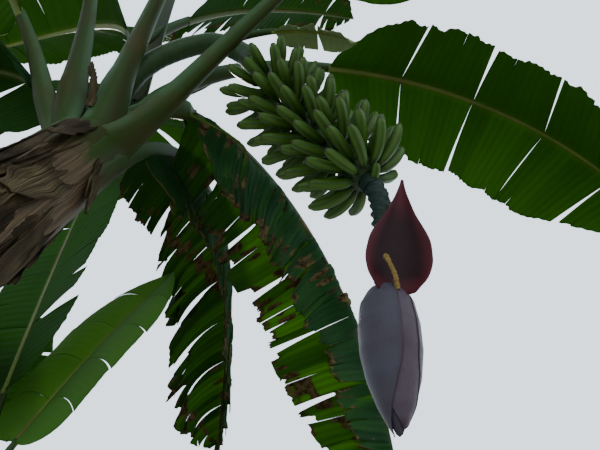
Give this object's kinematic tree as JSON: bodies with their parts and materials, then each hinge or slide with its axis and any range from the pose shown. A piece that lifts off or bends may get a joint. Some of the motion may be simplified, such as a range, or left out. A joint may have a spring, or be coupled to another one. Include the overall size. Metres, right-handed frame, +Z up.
{
  "type": "banana plant",
  "caption": "Rooted banana plant with a leaning stem, arching torn leaves, a hanging bunch of green fingers above a purple bell, and a younger sucker beside it.",
  "frame": {"origin": "middle of the flat cut under the main stem, at ground level", "axes": "+Z up, +Y away from the picture's viewpoint, +X to the picture's right"},
  "size_m": [3.6613, 3.0334, 4.8712],
  "materials": {
    "stem": "rough",
    "petiole": "satin",
    "leaf": "satin",
    "dry_leaf": "matte",
    "stalk": "satin",
    "fingers": "satin",
    "bell": "matte",
    "bract": "satin"
  },
  "bodies": {
    "root": {"bell": "bell", "blade_arching": "leaf", "blade_arching_outer": "leaf", "blade_back_left": "leaf", "blade_back_left_outer": "leaf", "blade_back_right": "leaf", "blade_front": "leaf", "blade_front_left": "leaf", "blade_front_left_outer": "leaf", "blade_front_outer": "leaf", "blade_front_right": "leaf", "blade_front_right_outer": "leaf", "blade_left": "leaf", "blade_left_outer": "leaf", "blade_low_left": "leaf", "blade_low_left_outer": "leaf", "blade_overhead": "leaf", "blade_right": "leaf", "blade_right_outer": "leaf", "blade_sucker_back": "leaf", "blade_sucker_front": "leaf", "blade_sucker_left": "leaf", "blade_sucker_right": "leaf", "blade_sucker_upright": "leaf", "blade_upright": "leaf", "blade_weeping": "dry_leaf", "blade_weeping_outer": "dry_leaf", "bunch_stalk_lower": "stalk", "bunch_stalk_upper": "stalk", "bunch_tail": "stalk", "flag_leaf": "leaf", "flag_petiole": "petiole", "hand_1": "fingers", "hand_2": "fingers", "hand_3": "fingers", "hand_4": "fingers", "hand_5": "fingers", "lifted_bract": "bract", "main_stem": "stem", "petiole_arching": "petiole", "petiole_back_left": "petiole", "petiole_back_right": "petiole", "petiole_front": "petiole", "petiole_front_left": "petiole", "petiole_front_right": "petiole", "petiole_left": "petiole", "petiole_low_left": "petiole", "petiole_overhead": "petiole", "petiole_right": "petiole", "petiole_sucker_back": "petiole", "petiole_sucker_front": "petiole", "petiole_sucker_left": "petiole", "petiole_sucker_right": "petiole", "petiole_sucker_upright": "petiole", "petiole_upright": "petiole", "petiole_weeping": "petiole", "sucker_stem": "stem"}
  },
  "joints": []
}
